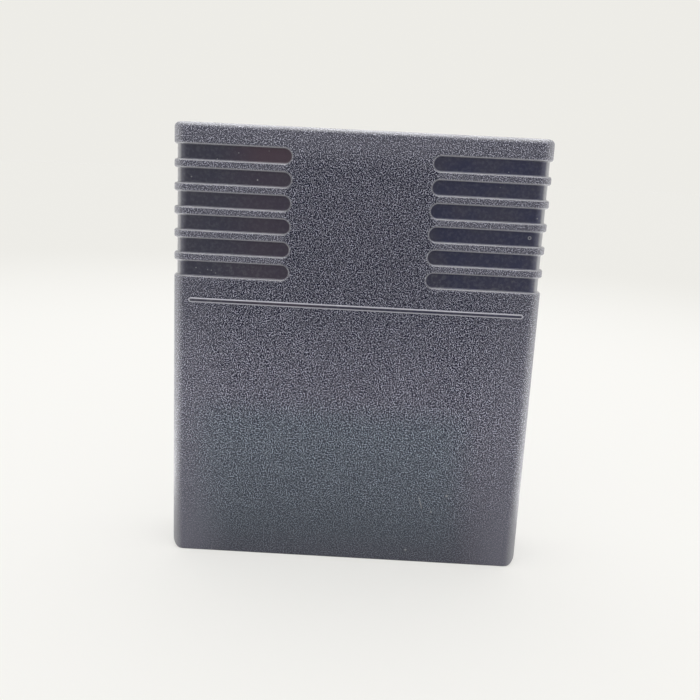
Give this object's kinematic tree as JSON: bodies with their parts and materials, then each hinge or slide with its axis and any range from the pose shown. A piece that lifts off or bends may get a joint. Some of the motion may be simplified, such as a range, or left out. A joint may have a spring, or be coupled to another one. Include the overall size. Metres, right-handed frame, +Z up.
{
  "type": "game cartridge",
  "caption": "Black moulded game cartridge with wrap-around finger grooves, a bare label recess and an open connector mouth over a circuit board.",
  "frame": {"origin": "under the middle of the case, on the surface that the connector end stands on", "axes": "+Z up from the connector end to the top end, +Y out of the label side, so that the rear face with the long finger grooves looks along -Y, and +X across the width"},
  "size_m": [0.081, 0.0193, 0.0972],
  "materials": {
    "case_plastic": "fine spark-eroded grain, smooth in the finger grooves and on the bead",
    "screw_steel": "zinc plated",
    "board_laminate": "green solder mask, satin",
    "contact_gold": "gold flash, polished",
    "chip_plastic": "matt moulding compound",
    "tinned_lead": "tinned, satin",
    "capacitor_dip": "dipped ceramic, glossy",
    "solder": "bright solder"
  },
  "bodies": {
    "root": {"rear_shell": "case_plastic", "front_shell": "case_plastic", "case_screw": "screw_steel", "circuit_board": "board_laminate", "front_contacts": "contact_gold", "rear_contacts": "contact_gold", "program_chip": "chip_plastic", "program_chip_leads": "tinned_lead", "inverter_chip": "chip_plastic", "inverter_chip_leads": "tinned_lead", "capacitor": "capacitor_dip", "capacitor_leads": "tinned_lead", "solder_joints": "solder"}
  },
  "joints": []
}
